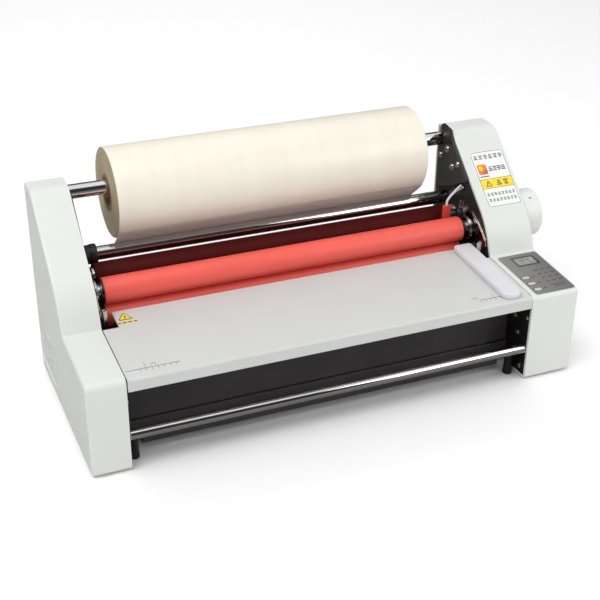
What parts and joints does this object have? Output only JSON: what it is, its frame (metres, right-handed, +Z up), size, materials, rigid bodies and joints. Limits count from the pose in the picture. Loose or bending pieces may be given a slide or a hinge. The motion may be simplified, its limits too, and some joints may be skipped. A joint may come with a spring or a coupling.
{
  "type": "hot roll laminator",
  "caption": "Desktop hot roll laminator: stepped white side covers, feed table with ruler marks, heated red rollers under a film roll on a chrome shaft, key panel on the right.",
  "frame": {"origin": "on the floor, under the centre of the whole machine's bounding box", "axes": "+X to the operator's right along the rollers, +Y from the feed table towards the film roll, +Z up"},
  "size_m": [0.476, 0.2232, 0.2113],
  "materials": {
    "white_casing": "fine satin moulded plastic",
    "black_plate": "black coated steel",
    "bracket_grey": "dark grey coated steel",
    "table_grey": "light grey powder coat",
    "dark_sheet": "dark brown-black coated sheet",
    "chrome": "polished",
    "steel": "turned",
    "bearing_steel": "ground",
    "zinc": "zinc plated steel",
    "motor_steel": "plated motor can",
    "coral_silicone": "satin silicone rubber",
    "dark_silicone": "dark red silicone rubber",
    "nylon": "moulded gear nylon",
    "lamp_glass": "quartz tube",
    "cardboard": "wound core board",
    "film": "tightly wound laminating film, satin sheen",
    "black_plastic": "moulded",
    "black_rubber": "moulded",
    "panel_grey": "membrane panel",
    "smoked_window": "smoked display window",
    "key_white": "key cap",
    "board_green": "circuit board",
    "milky_plastic": "milky moulded plastic",
    "switch_red": "rocker",
    "red_weave": "woven glass tape",
    "white_cable": "silicone sleeved wire"
  },
  "bodies": {
    "chassis": {"left_side_cover": "white_casing", "right_side_cover": "white_casing", "left_frame_plate": "black_plate", "right_frame_plate": "black_plate", "left_roll_bracket": "bracket_grey", "right_roll_bracket": "bracket_grey", "feed_table": "table_grey", "base_pan": "dark_sheet", "front_apron": "dark_sheet", "rear_panel": "dark_sheet", "front_tie_rod": "chrome", "rear_tie_rod": "chrome", "control_panel": "panel_grey", "display_window": "smoked_window", "circuit_board": "board_green", "drive_motor": "motor_steel", "mains_inlet": "black_plastic", "switch_bezel": "black_plastic", "front_left_foot": "black_rubber", "front_right_foot": "black_rubber", "rear_left_foot": "black_rubber", "rear_right_foot": "black_rubber", "temperature_sensor": "red_weave", "sensor_cable": "white_cable", "lower_front_bearing_left": "bearing_steel", "lower_front_bearing_right": "bearing_steel", "idler_bushing": "black_plastic", "lower_heater_lamp": "lamp_glass", "fan_frame": "black_plastic"},
    "lift_carriage": {"left_lift_arm": "zinc", "right_lift_arm": "zinc", "lift_tie_bar": "steel", "upper_heater_lamp": "lamp_glass", "upper_front_bearing_left": "bearing_steel", "upper_front_bearing_right": "bearing_steel"},
    "upper_front_roller": {"upper_front_roller_core": "steel", "upper_front_roller_sleeve": "coral_silicone", "upper_front_roller_gear": "nylon"},
    "upper_rear_roller": {"upper_rear_roller_core": "steel", "upper_rear_roller_sleeve": "dark_silicone", "upper_rear_roller_gear": "nylon"},
    "lower_front_roller": {"lower_front_roller_core": "steel", "lower_front_roller_sleeve": "coral_silicone", "lower_front_roller_gear": "nylon"},
    "lower_rear_roller": {"lower_rear_roller_core": "steel", "lower_rear_roller_sleeve": "dark_silicone", "lower_rear_roller_gear": "nylon"},
    "drive_gear": {"drive_gear": "nylon"},
    "pressure_knob": {"pressure_knob": "white_casing", "pressure_cam": "nylon"},
    "supply_shaft": {"supply_shaft": "chrome"},
    "film_roll": {"film_core": "cardboard", "film_roll": "film"},
    "idler_rod": {"idler_rod": "chrome"},
    "paper_guide": {"paper_guide": "milky_plastic"},
    "switch_rocker": {"switch_rocker": "switch_red"},
    "heat_key": {"heat_key": "key_white"},
    "forward_key": {"forward_key": "key_white"},
    "reverse_key": {"reverse_key": "key_white"},
    "fan_rotor": {"fan_rotor": "black_plastic"}
  },
  "joints": [
    {"name": "pressure_knob_turn", "type": "hinge", "parent": "chassis", "child": "pressure_knob", "pos_m": [0.228, 0.00635, 0.113], "axis": [1, 0, 0], "range_deg": [0, 90]},
    {"name": "carriage_lift", "type": "slide", "parent": "chassis", "child": "lift_carriage", "axis": [0, 0, 1], "range_m": [0, 0.002]},
    {"name": "lower_front_roller_spin", "type": "hinge", "parent": "chassis", "child": "lower_front_roller", "pos_m": [-0.017, 0.00585, 0.0841], "axis": [1, 0, 0], "continuous": true},
    {"name": "lower_rear_roller_spin", "type": "hinge", "parent": "chassis", "child": "lower_rear_roller", "pos_m": [-0.017, 0.03635, 0.0841], "axis": [1, 0, 0], "continuous": true},
    {"name": "upper_front_roller_spin", "type": "hinge", "parent": "lift_carriage", "child": "upper_front_roller", "pos_m": [-0.017, 0.00585, 0.108], "axis": [1, 0, 0], "continuous": true},
    {"name": "upper_rear_roller_spin", "type": "hinge", "parent": "lift_carriage", "child": "upper_rear_roller", "pos_m": [-0.017, 0.03635, 0.108], "axis": [1, 0, 0], "continuous": true},
    {"name": "drive_gear_spin", "type": "hinge", "parent": "chassis", "child": "drive_gear", "pos_m": [-0.017, 0.0211, 0.05165], "axis": [1, 0, 0], "continuous": true},
    {"name": "supply_shaft_lift_out", "type": "slide", "parent": "chassis", "child": "supply_shaft", "axis": [0, 0.866, 0.5], "range_m": [0, 0.08]},
    {"name": "film_roll_spin", "type": "hinge", "parent": "supply_shaft", "child": "film_roll", "pos_m": [-0.017, 0.07065, 0.1703], "axis": [1, 0, 0], "continuous": true},
    {"name": "idler_spin", "type": "hinge", "parent": "chassis", "child": "idler_rod", "pos_m": [-0.017, 0.05485, 0.1205], "axis": [1, 0, 0], "continuous": true},
    {"name": "paper_guide_slide", "type": "slide", "parent": "chassis", "child": "paper_guide", "axis": [-1, 0, 0], "range_m": [0, 0.3]},
    {"name": "switch_rocker_tilt", "type": "hinge", "parent": "chassis", "child": "switch_rocker", "pos_m": [0.195, 0.07885, 0.072], "axis": [1, 0, 0], "range_deg": [0, 14]},
    {"name": "fan_spin", "type": "hinge", "parent": "chassis", "child": "fan_rotor", "pos_m": [-0.23, 0.04535, 0.032], "axis": [1, 0, 0], "continuous": true},
    {"name": "heat_key_press", "type": "slide", "parent": "chassis", "child": "heat_key", "axis": [0, 0.0656, -0.9978], "range_m": [0, 0.0005], "stiffness_N_per_m": 400},
    {"name": "forward_key_press", "type": "slide", "parent": "chassis", "child": "forward_key", "axis": [0, 0.0656, -0.9978], "range_m": [0, 0.0005], "stiffness_N_per_m": 400},
    {"name": "reverse_key_press", "type": "slide", "parent": "chassis", "child": "reverse_key", "axis": [0, 0.0656, -0.9978], "range_m": [0, 0.0005], "stiffness_N_per_m": 400}
  ],
  "couplings": [
    {"joint": "pressure_knob_turn", "follows": "carriage_lift", "rad_per_m": 785.4},
    {"joint": "upper_front_roller_spin", "follows": "lower_front_roller_spin", "ratio": -1},
    {"joint": "lower_rear_roller_spin", "follows": "lower_front_roller_spin", "ratio": 1},
    {"joint": "upper_rear_roller_spin", "follows": "lower_front_roller_spin", "ratio": -1},
    {"joint": "drive_gear_spin", "follows": "lower_front_roller_spin", "ratio": -0.5}
  ]
}
